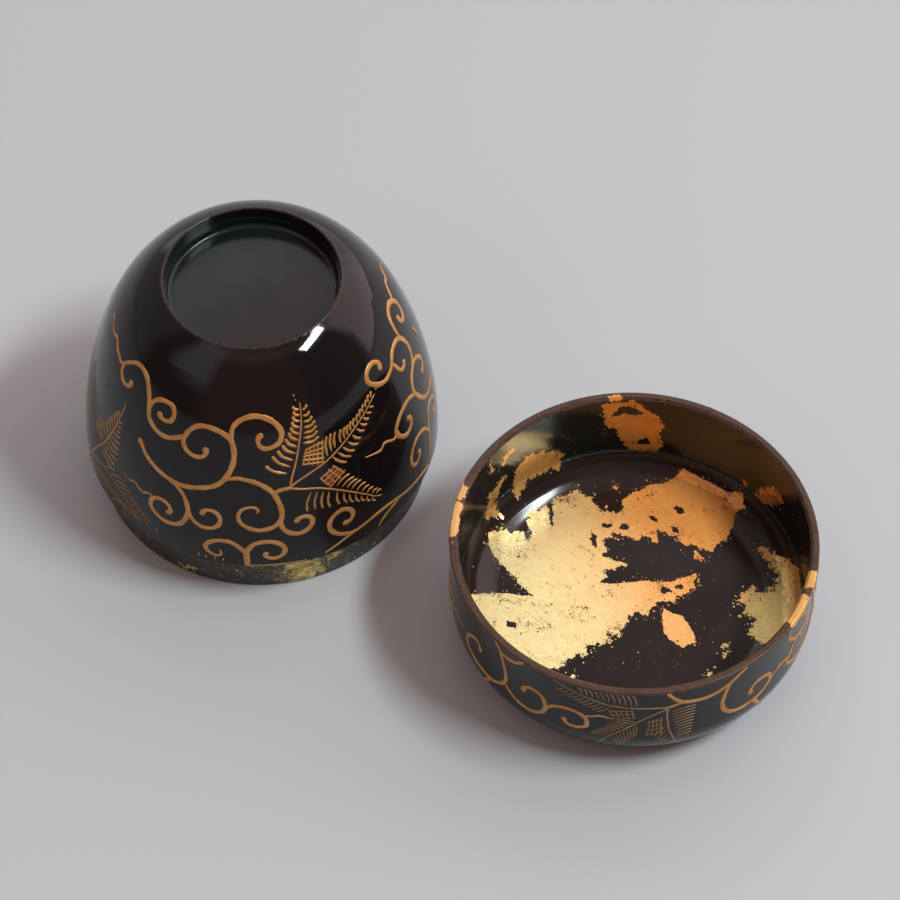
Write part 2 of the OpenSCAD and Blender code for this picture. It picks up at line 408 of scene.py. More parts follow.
def powder_gold(name, deep, light, shadow):
    """Burnished gold powder: clouds between a deep and a light tone, darker grains, a dark outline where
    the dome meets the lacquer, and places rubbed thin."""
    made, add, join = finish(name, light, 0.42, 0.5)
    place = axis_place(add)
    edge = add("Attribute", attribute_name="edge")[2]
    cloud = add("TexNoise", {"Vector": place, "Scale": 0.35, "Detail": 4})[0]
    powder = add("TexNoise", {"Vector": place, "Scale": 9.0, "Detail": 2})[0]
    thin = add("TexNoise", {"Vector": place, "Scale": 1.3, "Detail": 5, "Roughness": 0.7})[0]
    shade = blend_colour(add, ease(add, cloud, 0.35, 0.65), deep, light)
    shade = blend_colour(add, ease(add, powder, 0.35, 0.7, 0.0, 0.4), shade, shadow)
    shade = blend_colour(add, ease(add, edge, 0.75, 1.0, 0, 0.75), shade, (0.17, 0.065, 0.018, 1))
    shade = blend_colour(add, ease(add, thin, 0.60, 0.74, 0, 0.5), shade, (0.09, 0.04, 0.016, 1))
    join(Base_Color=shade, Roughness=ease(add, powder, 0.3, 0.8, 0.36, 0.55), Normal=add(
        "Bump", {"Strength": 0.5, "Distance": 0.001, "Height": maths(
            add, "ADD", maths(add, "MULTIPLY", powder, 0.03), maths(add, "MULTIPLY", cloud, 0.03))})[0])
    return made


gold_line = powder_gold("raised_gold_powder", (0.53, 0.245, 0.060, 1), (0.62, 0.33, 0.105, 1),
                        (0.30, 0.135, 0.032, 1))

ON_BODY = (body_side, lambda run: body_outline(run)[0])     # a surface, and its radius along the outline
THICK = 1.12        # width of the vines' main strokes, in millimetres


def shifted(strokes, by, low=1.0):
    """The same strokes further round by that many degrees, their distances up times low."""
    return [([(a + by, s * low) for a, s in points], *rest) for points, *rest in strokes]


def vine(strokes, side):
    """Strokes of (points, width, tip scales, knobs)."""
    return [stroke(points, width, side, *rest) for points, width, *rest in strokes]


PLAIN, DROP = (0.8, 0.8), (0.75, 0.9)       # scales of the two tips
vine_left = [
    ([(-27, 30), (-28.5, 29.3), (-31, 28.6), (-34, 28.1), (-37, 28.2), (-40, 28.8), (-42.5, 30),
      (-43.5, 31.5), (-44.5, 33.2), (-46.5, 35), (-49, 36.4), (-52, 37.2), (-55, 37.4), (-58, 37),
      (-61, 36), (-63.5, 34.8), (-65, 34.1)], 1.1, (0.9, 0.6), (0, 0)),
    ([(-63.5, 34.9), (-65, 34.1), (-67, 33.9), (-68.5, 34.3), (-70, 34.3), (-72, 34.6), (-74, 35.1),
      (-76.5, 35.5), (-79.5, 34.9), (-83.5, 35.1), (-86.5, 35.6), (-89.5, 35.4)], 0.7, (0.9, 0.15), (0, 0)),
    ([(-63.3, 35), (-63.8, 33.8), (-62.8, 32.6), (-61, 31.9), (-59, 31.7), (-57, 32), (-55.8, 32.8),
      (-56.8, 33.5)], 0.95, DROP, (0, 0.7)),
    ([(-43.6, 31.6), (-42.5, 33.5), (-40, 34.6), (-37, 35), (-34, 34.9), (-32.3, 34), (-32.2, 32.6),
      (-33.5, 31.6), (-36, 31.3), (-38, 31.7), (-38.2, 32.5)], 1.0, DROP, (0, 0.7)),
    ([(-45, 24.3), (-43, 23.2), (-40, 21.5), (-35, 20), (-30, 19.2), (-25, 19), (-20, 19.6), (-15, 20.6),
      (-12, 21.8), (-10, 23.2), (-8.3, 25), (-7.2, 27), (-7, 29), (-8, 31.2), (-10, 32.2), (-13, 32.9),
      (-17, 33.3), (-21, 33.1), (-24, 32), (-26, 30.3), (-26.5, 28.8), (-25, 27.3), (-22.5, 26.6),
      (-20, 26.6), (-18, 27.2), (-17.4, 28.2), (-18.2, 29)], THICK, (0.85, 0.8), (0.5, 0.6)),
]
vine_middle = [
    ([(-8.1, 30.6), (-8, 33.3), (-6.5, 34.8), (-3.5, 35.8), (0, 36.3), (3, 36.2), (6.5, 35.6), (9.5, 34.4),
      (11.2, 32.7), (10.3, 31), (8.5, 30.2), (5.5, 29.7), (3, 30), (1.9, 31.2), (2.6, 32.3), (4.2, 32.4)],
     THICK, (0.8, 0.75), (0, 0.7)),
    ([(-12.5, 21.6), (-10, 22.8), (-6, 23.3), (-3, 23), (0, 22.5), (3, 21.5), (5.5, 20.2), (7, 18.5),
      (8, 16.5), (8.3, 14.5), (7.5, 12.8), (5.5, 11.6), (3, 11), (0, 10.8), (-3, 11.4), (-5.5, 12.8),
      (-6, 14.4), (-5, 15.8), (-3, 16.5), (-0.8, 16.6), (0.6, 16), (0.2, 15.1)], THICK, (0.7, 0.5), (0, 0)),
    ([(8.2, 14.6), (7.7, 12.2), (8.5, 10.5), (10.5, 9.3), (13, 8.8), (15.5, 9.2), (17.5, 10.3), (18, 11.6),
      (17, 12.6), (14.8, 12.9), (13, 12.4), (12.9, 11.6)], THICK, (0.8, 0.8), (0, 0.6)),
    ([(6, 19.7), (8.5, 20.3), (12.5, 20.5)], 0.95, PLAIN, (0, 0)),
]
vine_low = [
    ([(-31, 19.3), (-27, 18.2), (-24.5, 16.5), (-23.3, 14.5), (-23, 12.8), (-24, 10.8), (-26, 9), (-29, 8.1),
      (-32, 8), (-35, 8.8), (-37, 10.2), (-36.8, 11.8), (-35, 13), (-32.5, 13.3), (-30.3, 12.8),
      (-29.3, 11.6), (-30, 10.8), (-31.2, 10.9)], 1.1, (0.7, 0.8), (0, 0.6)),
    ([(-23.1, 14), (-22, 12), (-20.5, 10.8), (-18, 10.1), (-15, 10.3), (-12.8, 11.3), (-12, 12.8),
      (-12.8, 14.2), (-14.8, 14.8), (-17, 14.6), (-18, 13.8), (-17.5, 13.2)], 1.0, DROP, (0, 0.6)),
    ([(-35.8, 12.3), (-37, 13), (-38.5, 13), (-40.5, 12.3), (-42.5, 12.8), (-44.5, 13.5), (-46.5, 12.8),
      (-49, 13.3), (-50, 13.8)], 0.5, (0.9, 0.2), (0, 0)),
]
curl_pair = [
    ([(-4, 0.45), (-4, 2.5), (-3.9, 4.6), (-2.8, 6), (-1, 7.1), (2, 7.6), (5, 7.3), (7.5, 6.3), (8.3, 4.9),
      (7.5, 3.6), (5.5, 2.8), (3.5, 2.8), (2, 3.5), (2.1, 4.2), (3.2, 4.3)], 1.15, (1.1, 0.7), (0, 0.5)),
    ([(-4, 3.4), (-4.4, 4.5), (-5.5, 5.4), (-7.5, 6.6), (-10, 7.3), (-13, 7.2), (-15.8, 6.3), (-17.3, 5),
      (-16.5, 3.6), (-14.5, 2.8), (-12.8, 3), (-12, 3.8), (-12.7, 4.6)], 1.1, (1.0, 0.3), (0, 0)),
]
vine_foot = [
    ([(21, 1.2), (25, 2.3), (30, 3.6), (35, 4.3), (40, 4.9), (46, 5), (52, 4.2), (57, 3.4), (63, 2.7),
      (70, 1.6)], 0.78, (0.6, 0.6), (0, 0)),
    ([(33, 4.1), (31, 4), (27.5, 4.8), (25, 6), (23.5, 7.6), (23.6, 9.3), (25.5, 10.8), (28.5, 11.3),
      (31, 10.5), (32, 9), (31, 7.8), (29.3, 7.5), (28.2, 8)], 1.1, DROP, (0, 0.5)),
    ([(41, 1), (43, 2.3), (46, 3.3), (49, 3.8), (51, 4.2)], 0.7, (0.4, 0.9), (0, 0)),
]
vine_right = [
    ([(66, 31.6), (63, 31.1), (60, 31), (56.5, 31.6), (53.5, 32.8), (52, 34), (53, 35.3), (56, 36),
      (59, 35.9), (61, 35), (60.8, 34.1), (59.4, 33.8)], 1.1, DROP, (0, 0.6)),
    ([(64, 31.2), (66, 31.6), (68, 32.4), (70.5, 33.2), (73.5, 33.5), (77, 33.2), (79.5, 32.2), (81, 30.5),
      (81.5, 28.8), (80.5, 27.2), (78.5, 25.8), (76.5, 25.2), (74, 24.6), (72, 23.3), (71.3, 21.8),
      (72.5, 20.3), (74.5, 18.3), (77, 16.8), (80, 15.8), (84, 15.4), (90, 15.5)], 1.15, (0.8, 0.5), (0, 0)),
    ([(67, 32), (68, 30.8), (69.2, 29.2), (71, 28.4), (73, 28.5), (74.3, 29.3)], 0.95, DROP, (0, 0.6)),
    ([(79.3, 32.3), (80, 34.5), (81.5, 36.2), (84.5, 37.2), (88.5, 37.3), (92, 36.3), (94, 34.6), (93, 32.8),
      (90.5, 32), (88, 32.4), (86.7, 33.6), (87.8, 34.4)], 1.15, DROP, (0, 0.5)),
    ([(77.5, 25.4), (81, 25.2), (83.5, 24.3), (85.5, 22.8), (85, 21.4), (83, 20.8), (81.3, 21.3)], 1.0, DROP,
     (0, 0.5)),
    ([(71.5, 22.4), (71.3, 21.4), (69, 22), (66.5, 22.5), (63.5, 22.5), (60, 22), (57, 21), (55.5, 19.8),
      (56.5, 18.4), (58.5, 17.2), (61, 16.7), (63.5, 17.3), (64.6, 18.5), (63.8, 19.3),
     (62.4, 19.3)], 1.1, DROP, (0, 0.5)),
    ([(57, 19.6), (55.5, 19.2), (53.5, 19), (51, 19.8), (49, 20.2), (47, 19.4), (44, 19.8), (40, 20.5)], 0.6,
     (0.9, 0.2), (0, 0)),
    ([(74, 9), (72, 10.8), (69.5, 12.2), (66, 12.9), (62.5, 12.4), (60, 11), (59.3, 9.2), (60.5, 7.8),
      (62.5, 7.4), (64.5, 8.2), (64.8, 9.1), (63.7, 9.5)], 1.0, DROP, (0, 0.5)),
    ([(70.5, 3.5), (72, 5.5), (73.3, 8), (74.2, 10.5), (75.5, 12.5), (78, 13.6), (81, 13.4), (84, 12),
      (84.5, 10.3), (82, 9.6), (80.3, 10.3)], 1.0, DROP, (0, 0.5)),
    ([(92, 36), (94, 36.2), (96, 36.8), (100, 37.6), (103.5, 37), (108.5, 37.3),
     (114.5, 36.4)], 0.75, (0.9, 0.2), (0, 0)),
    ([(92, 27.4), (92.8, 26.2), (93, 24.8)], 0.9, (0.8, 0.8), (0, 0)),
]
for name, strokes in (("vine_left", vine_left), ("vine_middle", vine_middle), ("vine_low", vine_low),
                      ("curl_pair", curl_pair), ("vine_foot", vine_foot), ("vine_right", vine_right)):
    piece("body_" + name, vine(strokes, ON_BODY), gold_line, "body")
# The side away from the viewer carries the same motifs, half a turn further round and a little lower.
ROUND, LOWER = 196, 0.89
for name, strokes in (("vine_left", vine_left[:1] + vine_left[2:]), ("vine_middle", vine_middle),
                      ("vine_low", vine_low), ("curl_pair", curl_pair), ("vine_foot", vine_foot)):
    piece("body_back_" + name, vine(shifted(strokes, ROUND, LOWER), ON_BODY), gold_line, "body")

# ---------------------------------------------------------------------------------------------
# Fern fronds on the body. A thin drawn rib with rows of short leaflets, each one touch of the brush:
# pointed at the rib and blunt outside. They are gold powder like the vines, only lower.


def row(first, last, count):
    """Leaflets of (root angle, root run, tip angle, tip run), stepped evenly from first to last."""
    return [tuple(v) for v in np.linspace(first, last, count)]


def frond(rib, leaflets, side, width, bow):
    """A rib and its leaflets. A leaflet's middle is pushed aside by bow millimetres, towards the rib's
    far end, so that it curves."""
    shells = [stroke(rib, 0.38, side, (1.3, 0.5), (0, 0), 0.09)]
    far = np.array(rib[-1], float)
    for root_a, root_s, tip_a, tip_s in leaflets:
        root, tip = np.array((root_a, root_s)), np.array((tip_a, tip_s))
        middle = root * 0.45 + tip * 0.55
        scale = np.array([np.radians(side[1](middle[1])), 1])
        push = (far - middle) * scale
        line = (tip - root) * scale
        push -= line * (push @ line) / (line @ line)
        middle = middle - bow * push / max(np.linalg.norm(push), 1e-6) / scale
        shells.append(stroke([root, middle, tip], width, side, (0.3, 1.0), (0, 0), 0.08, 0.45, 3))
    return shells


def tick(points, width, proud=0.08):
    """A dot or a short dash on the body, with full round ends."""
    return stroke(points, width, ON_BODY, (1, 1), (0, 0), proud, 0.3, 3)


def net(corners, across, down, side, width):
    """Cross-hatching: strokes between points spaced evenly along opposite sides of a four-sided field."""
    a, b, c, d = (np.array(p, float) for p in corners)
    lines = [(a + (b - a) * t, d + (c - d) * t) for t in np.linspace(0.03, 0.97, across)]
    lines += [(a + (d - a) * t, b + (c - b) * t) for t in np.linspace(0.05, 0.95, down)]
    shells = []
    for i, (p, q) in enumerate(lines):
        sway = 0.22 * np.array([math.sin(3.1 * i), math.cos(5.3 * i)])
        line = [p - (q - p) * 0.05 + sway, (p + q) / 2 + sway[::-1], q + (q - p) * 0.06 - sway]
        shells.append(stroke(line, width * (1 + 0.2 * math.sin(2.3 * i)), side, (0.8, 0.7), (0, 0), 0.09,
                             0.6, 3))
    return shells


front_ferns = {
    "fern_left": ([(12, 21), (13, 23), (15, 26), (17.3, 30), (19, 33), (20, 35.5), (20.5, 37.5)], [
        (11.5, 23.8, 4, 26), (12.8, 25.1, 6.6, 28), (14.2, 26.4, 8.7, 29), (15.5, 27.7, 10.7, 30),
        (16.5, 29, 12.2, 31.2), (17.4, 30.3, 13.7, 32.3), (18.1, 31.5, 14.8, 33.3), (18.7, 32.8, 15.6, 34.3),
        (19.2, 34, 16.3, 35.3), (19.6, 35.2, 17, 36.2), (19.9, 36.3, 17.2, 37.2), (18.5, 29.5, 25, 29.8),
        (19, 30.5, 25, 31), (19.4, 31.5, 25, 32.1), (19.8, 32.6, 24.9, 33.2), (20.1, 33.7, 24.2, 34.3),
        (20.4, 34.9, 23.5, 35.4), (20.7, 36, 22.9, 36.8)],
        0.78, 0.45),
    "fern_middle": ([(12, 20.7), (15, 21.7), (20, 22.9), (25, 23.9), (30, 25.2), (35, 26.6), (40, 28),
                     (45, 29.2), (50, 30.5), (52.5, 31)], [
        (26.6, 25, 27.7, 29.2), (28.4, 25.5, 29.6, 29.4), (30, 26, 31.4, 29.3), (32.6, 26.4, 33.8, 29.2),
        (34.4, 26.8, 35.6, 29.2), (36, 27.2, 37, 29.3), (37.6, 27.6, 38.7, 29.6), (39.2, 28, 40.3, 29.8),
        (41, 28.4, 42.3, 30.1), (42.8, 28.9, 44.2, 30.6), (44.6, 29.4, 46, 31), (46.6, 29.9, 48, 31.4),
        (48.4, 30.4, 49.8, 31.9), (50.4, 30.9, 51.6, 32), (28.3, 24.4, 33, 21.8), (30.5, 24.8, 35.2, 22.5),
        (32.8, 25.4, 37, 23.3), (35.2, 25.9, 39, 24.2), (37.6, 26.7, 40.8, 25), (40, 27.4, 43, 26),
        (42, 28, 44.8, 26.8), (44, 28.6, 46.4, 27.6), (46, 29.1, 48.2, 28.4), (48, 29.7, 50, 29.2)],
        0.66, 0.3),
    "fern_right": ([(12, 20.3), (16, 19.6), (22, 18.6), (28, 16.6), (33, 14.4), (38, 11.8), (41, 10),
                    (43.8, 9.1)], [
        (18.6, 18.4, 16.6, 14), (20.8, 18, 19.4, 14), (22.8, 17.6, 21.9, 13.6), (24.8, 17.1, 24.4, 13.2),
        (27.6, 16.3, 27.8, 13), (29.8, 15.3, 30.5, 12.4), (31.8, 14.4, 32.7, 11.8), (33.8, 13.5, 35, 11.1),
        (35.8, 12.4, 37, 10.5), (37.8, 11.3, 39, 9.6), (39.8, 10.3, 41, 8.8), (27.6, 17.6, 33.2, 19),
        (29.4, 16.8, 34.6, 17.8), (31, 16, 35.6, 16.9), (32.6, 15.2, 37, 16.1), (34.4, 14.2, 38.5, 14.9),
        (36.2, 13.2, 39.6, 13.7), (38, 12.2, 41, 12.6), (39.8, 11.2, 42.6, 11.5), (41.4, 10.4, 43.8, 10.6)],
        0.54, 0.35)}
fruit_fields = (([(17, 24.8), (24.5, 24), (26, 28.4), (19, 28.2)], 5, 5, 0.52),
                ([(22.5, 20.7), (25.5, 18), (31.5, 20), (28, 22.4)], 4, 4, 0.46))
for prefix, by in (("body_", 0), ("body_back_", ROUND)):
    for name, (rib, leaflets, width, bow) in front_ferns.items():
        low = LOWER if by else 1
        shells = frond([(a + by, s * low) for a, s in rib],
                       [(a + by, s * low, b + by, t * low) for a, s, b, t in leaflets], ON_BODY, width, bow)
        if name == "fern_left":
            shells += [tick([(18.2 + by, 39), (19 + by, 39.1)], 0.6, 0.09),
                       tick([(18.6 + by, 38.2), (19.2 + by, 38.1)], 0.4)]
        if name == "fern_middle":
            shells += [tick([(a + by, s * low), (a + 0.7 + by, s * low + 0.1)], width)
                       for a, s, width in ((53.6, 31.5, 0.5), (55.2, 31.4, 0.4), (55.4, 32.3, 0.45))]
        piece(prefix + name, shells, gold_line, "body")
    fruits = [s for corners, across, down, width in fruit_fields
              for s in net([(a + by, s * low) for a, s in corners], across, down, ON_BODY, width)]
    piece(prefix + "fern_fruits", fruits, gold_line, "body")
# Two more fronds spread from a point at the left side, thinner and closer set.
flank_up = frond(
    [(-77.5, 0.5), (-75, 2.8), (-67, 10.5), (-62, 14.8), (-59, 18.8), (-57, 22.3), (-56, 24.8), (-55, 27.5),
     (-55.3, 28.6)],
    [(-62.8, 14.9, -66.2, 17.4), (-61.6, 16.3, -64.6, 19), (-60.4, 17.8, -62.8, 20.5),
     (-59.3, 19.4, -61.6, 21.8), (-58.6, 20.7, -60.5, 23), (-57.7, 22, -59.2, 24.3),
     (-57, 23.4, -58.1, 25.1), (-56.4, 24.5, -57, 25.8), (-56.4, 23.3, -54.3, 23.9),
     (-56.8, 22.3, -54.4, 22.7), (-57.3, 21.1, -54.2, 21.5), (-58, 20, -53.8, 20.4),
     (-58.8, 18.6, -53.6, 19), (-59.8, 17.3, -53.5, 17.4), (-60.8, 16, -53.6, 15.9),
     (-61.8, 14.8, -54, 14.2), (-62.6, 13.7, -54.6, 12.4), (-63.4, 12.6, -56, 10.8)], ON_BODY, 0.5, 0.25)
flank_down = frond(
    [(-76, 3), (-70.5, 6), (-62.5, 8.3), (-57, 8.5), (-52, 7.8), (-47.5, 6.3), (-44, 5.3), (-41, 4.5),
      (-37.5, 4)],
    [(-60.3, 9, -53.6, 11.6), (-56.8, 9, -50.2, 11.1), (-54.3, 8.8, -47.8, 10.1), (-51.8, 8.3, -46, 9.3),
     (-49.8, 7.7, -44.3, 8.5), (-47.8, 7, -42.3, 8), (-45.8, 6.3, -40.8, 7.4), (-43.8, 5.8, -39.3, 6.7),
     (-41.8, 5.2, -38.2, 6), (-39.8, 4.8, -36.6, 5.4)]
    + row((-64.8, 7.2, -62, 3.8), (-44.8, 4.8, -41.6, 3.2), 11), ON_BODY, 0.4, 0.2)
flank_marks = frond([(-75, 16), (-76, 17)], row((-69.5, 17.6, -71.5, 18.4), (-83, 23.4, -84.5, 24.2), 10),
                    ON_BODY, 0.4, 0)
flank_marks += net([(-69.5, 15), (-63.8, 14), (-65, 18.5), (-69, 18)], 4, 4, ON_BODY, 0.45)
flank_marks += [stroke([(-57, 1.6), (-54, 3.3), (-50, 4), (-48.7, 2.2), (-49.5, 0.6)], 0.35, ON_BODY,
                       (0.5, 0.8)),
                stroke([(-69, 25.3), (-67.9, 26.2), (-69, 27.2), (-70.2, 26.3), (-69.4, 25.5)], 0.28,
                       ON_BODY),
                tick([(-35.6, 4), (-34.6, 3.7)], 0.5)]
faint_line = powder_gold("rubbed_gold_powder", (0.30, 0.17, 0.066, 1), (0.40, 0.25, 0.108, 1),
                         (0.15, 0.075, 0.028, 1))
for name, shells, gold_tone in (("flank_fern_up", flank_up, gold_line),
                                ("flank_fern_down", flank_down, faint_line),
                                ("flank_marks", flank_marks, faint_line)):
    piece("body_" + name, shells, gold_tone, "body")
# The powder line at the shoulder's edge, and four small ticks beside the curl pair.
marks = [stroke([(a, 1.3), (a + 0.3, 2.3)], 0.4, ON_BODY, (1, 0.5), (0, 0), 0.06, 0.3, 3)
         for a in (-20, -17.5, -14.5, -11.8)]
marks.append(stroke([(-4, 0.75), (1, 0.7), (6, 0.75), (15, 0.7)], 0.35, ON_BODY, (1, 0.4), (0, 0), 0.07))
piece("body_shoulder_marks", marks, gold_line, "body")

# ---------------------------------------------------------------------------------------------
# Vines and ferns on the lid's side, drawn the same way. They run on from the body's when the caddy
# is closed, so they hang from the rim and fade out under the rounded shoulder.


LID_H = 25


def lid_outline(run):
    """The lid's outside from the rim down: the straight wall, the shoulder and the slight crown."""
    return turned(run, 33, 13.977, ((10.5, 74), (24, 16)))


def lid_side(angle, run, lift):
    """The lid's outside by angle and distance down from the rim, lifted square to it."""
    r, z, a = lid_outline(run)
    return around(LID_X, angle, r + lift * np.cos(a), LID_H - z - lift * np.sin(a))


ON_LID = (lid_side, lambda run: lid_outline(run)[0])
FAINT = 0.33        # width of a leaflet on the lid, in millimetres
lid_left = [
    ([(-50, 0.3), (-48, 1.5), (-47, 3.5), (-46, 5.5), (-45.2, 8), (-45.3, 10), (-46.5, 11.5), (-49, 12.8),
      (-52, 13.6), (-58, 13.5), (-62, 12.8), (-65, 11.5), (-65.5, 10), (-64, 8.3), (-61.5, 7), (-59, 6.6),
      (-57.5, 7.4), (-57.4, 8.8)], 0.95, DROP, (0, 0.5)),
    ([(-52, 13.6), (-54, 15.5), (-56, 17), (-58, 19.5)], 0.9, (0.8, 0.3), (0, 0)),
    ([(-48.2, 1.9), (-46, 2.3), (-44, 2.3), (-41.5, 1.9), (-39.5, 1), (-38.3, 0.3)], 0.95, PLAIN, (0, 0)),
    ([(-45.3, 10.9), (-43.5, 12.2), (-41, 13.3), (-38, 13.9), (-35, 13.9), (-32.5, 13.2), (-30.8, 12),
      (-30.2, 10.5), (-30.5, 9), (-31.5, 7.6), (-33.5, 6.9), (-35.5, 6.8), (-37.3, 7.5), (-38.2, 8.5),
      (-38, 9.4)], 0.98, DROP, (0, 0.5)),
    ([(-30.4, 11.8), (-29.5, 10.3), (-27.5, 9), (-25, 8.3), (-22, 8.1), (-19.5, 8.4), (-17.5, 9.2),
      (-16.5, 10.5), (-16.8, 12), (-18.5, 12.8), (-20.5, 13.1), (-22.5, 12.9), (-23.8, 12), (-23.7, 11.2)],
     0.95, DROP, (0, 0.5)),
    ([(-18.3, 8.9), (-15.5, 8.6), (-13.8, 8), (-12, 7.8), (-10, 8.1), (-8.5, 8)], 0.6, (0.9, 0.2), (0, 0)),
]
lid_right = [
    ([(7.5, 0.3), (9, 1.6), (11, 3), (13.5, 3.9), (17, 4.3), (20.5, 4.3), (23.5, 3.9), (26, 3.3), (29, 2.2),
      (32, 1), (34, 0.3)], 1.0, PLAIN, (0, 0)),
    ([(28.8, 2.3), (27.3, 4), (26.3, 6), (25.8, 8), (26.2, 9.8), (27.5, 11.4), (30, 12.6), (33.5, 13.1),
      (37, 13), (40.5, 12.5), (43, 11.5), (44.7, 10.3), (44.5, 8.8), (43, 7.9), (40.5, 7.5), (38, 7.8),
      (36.3, 8.8), (36.4, 9.8), (37.3, 10.3)], 1.05, DROP, (0, 0.5)),
    ([(44.2, 10.7), (47.5, 9.3), (50, 8.9), (53, 9.2), (56, 8.6)], 0.6, (0.9, 0.2), (0, 0)),
    ([(37.6, 13), (39.5, 14.5), (40.5, 16), (43, 18.5), (45, 21)], 1.0, (0.8, 0.4), (0, 0)),
    ([(13.4, 3.7), (10.5, 4.2), (8, 4.8)], 0.8, PLAIN, (0, 0)),
]
lid_far = [([(53.5, 1), (53.2, 3), (55, 4.5), (57.5, 6), (61, 6.4), (64, 5.4), (65, 3.8), (63.4, 2.6),
            (61, 2.9)], 1.0, DROP, (0, 0.5))]
lid_ferns = {
    "fern_rim": ([(8.2, 4.8), (3, 4.6), (-4, 4.4), (-10, 4), (-15, 3.2), (-20, 2.3), (-25, 1.2), (-28, 0.6)],
                 row((-1.5, 4, -3, 0.5), (-18.5, 2.1, -19.5, 0.5), 11)
                 + row((-9.5, 4.5, -13.5, 6.6), (-24, 1.9, -27, 3), 10)),
    "fern_slant": ([(8, 5.2), (5, 6.2), (1, 7.8), (-2, 9.5), (-5, 11.3), (-8, 13), (-10.5, 14.5),
                    (-12.5, 17), (-13, 19.5)],
                   row((-1.8, 8.9, -7.5, 8.4), (-10.5, 13.8, -15.5, 14), 9)
                   + row((-1.5, 9.8, -1.6, 13.4), (-8.3, 14, -6.6, 17.5), 8)),
    "fern_drop": ([(8, 5.3), (7.8, 7), (8.2, 9.5), (8.8, 12), (9.8, 14), (11, 16.5), (12.5, 19)],
                  row((9, 6.3, 17, 5.6), (11, 14.8, 16, 14), 10)
                  + row((7.6, 10.8, 4.4, 13.8), (10, 16, 7.5, 18), 5))}
for name, strokes in (("vine_left", lid_left), ("vine_right", lid_right), ("vine_far", lid_far)):
    piece("lid_" + name, vine(strokes, ON_LID), gold_line, "lid")
# The unseen sides repeat the vines and ferns, about a third of a turn apart.
BACK_RIGHT, BACK_LEFT = 119, 236
for name, by in (("lid_", 0), ("lid_back_right_", BACK_RIGHT), ("lid_back_left_", BACK_LEFT)):
    for fern, (rib, leaflets) in lid_ferns.items():
        shells = frond([(a + by, s) for a, s in rib], [(a + by, s, b + by, t) for a, s, b, t in leaflets],
                       ON_LID, FAINT, 0.2)
        piece(name + fern, shells, faint_line, "lid")
    fruits = net([(-10 + by, 5.6), (-2.8 + by, 5.2), (-2 + by, 7.6), (-8.5 + by, 8.2)], 5, 3, ON_LID, 0.3)
    fruits += net([(2.4 + by, 8.8), (6.3 + by, 8.2), (6.6 + by, 13), (1.6 + by, 13.2)], 4, 4, ON_LID, 0.3)
    piece(name + "fern_fruits", fruits, faint_line, "lid")
for name, by in (("back_right", BACK_RIGHT), ("back_left", BACK_LEFT)):
    piece("lid_vine_" + name, vine(shifted(lid_left[:1] + lid_left[2:] + lid_right[:3], by), ON_LID),
          gold_line, "lid")

# ---------------------------------------------------------------------------------------------
# Ground of the fruits on the body. Under the gold nets the fields are of dark red lacquer, one thin
# coat with an uneven edge. It is cut from a flat outline, as the gold leaf inside the lid is.

draw = np.random.default_rng(27)


def inside(points, outline):
    """Whether each point is in a closed outline: it is if a line to the right crosses it an odd number
    of times."""
    x, y = points[:, :1], points[:, 1:]
    (ax, ay), (bx, by) = outline.T, np.roll(outline, -1, 0).T
    rise = np.where(by == ay, 1e-12, by - ay)
    crossed = ((ay > y) != (by > y)) & (x < ax + (y - ay) * (bx - ax) / rise)
    return crossed.sum(1) % 2 == 1


def torn(outline, rough, step=0.16):
    """A closed outline cut to short steps and pushed sideways by a sum of sines whose height falls with
    their length, as a torn edge does. A third number on a point scales the tearing there."""
    p = np.array([(*q, 1.0)[:3] for q in outline])
    q = np.roll(p, -1, 0)
    counts = np.maximum((np.hypot(*(q - p)[:, :2].T) / step).astype(int), 1)
    line = np.vstack([a + (b - a) * np.linspace(0, 1, n, endpoint=False)[:, None]
                      for a, b, n in zip(p, q, counts)])
    d = np.concatenate([[0], np.cumsum(np.hypot(*np.diff(line[:, :2], axis=0).T))])
    around_all = d[-1] + step
    side = np.roll(line[:, :2], -1, 0) - np.roll(line[:, :2], 1, 0)
    side = side[:, ::-1] * (1, -1) / np.maximum(np.hypot(*side.T), 1e-9)[:, None]
    push = np.zeros(len(line))
    for length in (5.0, 3.1, 1.9, 1.3, 0.85, 0.6, 0.42):
        waves = max(round(around_all / length), 1)
        push += (length / 5) ** 0.62 * np.sin(2 * math.pi * waves * d / around_all + draw.uniform(0, 6.28)
                                              + 1.8 * np.sin(d * 0.7 / length + draw.uniform(0, 6.28)))
    push += draw.normal(0, 0.35, len(line))
    return line[:, :2] + side * (push * rough * np.clip(line[:, 2], 0, 1))[:, None]


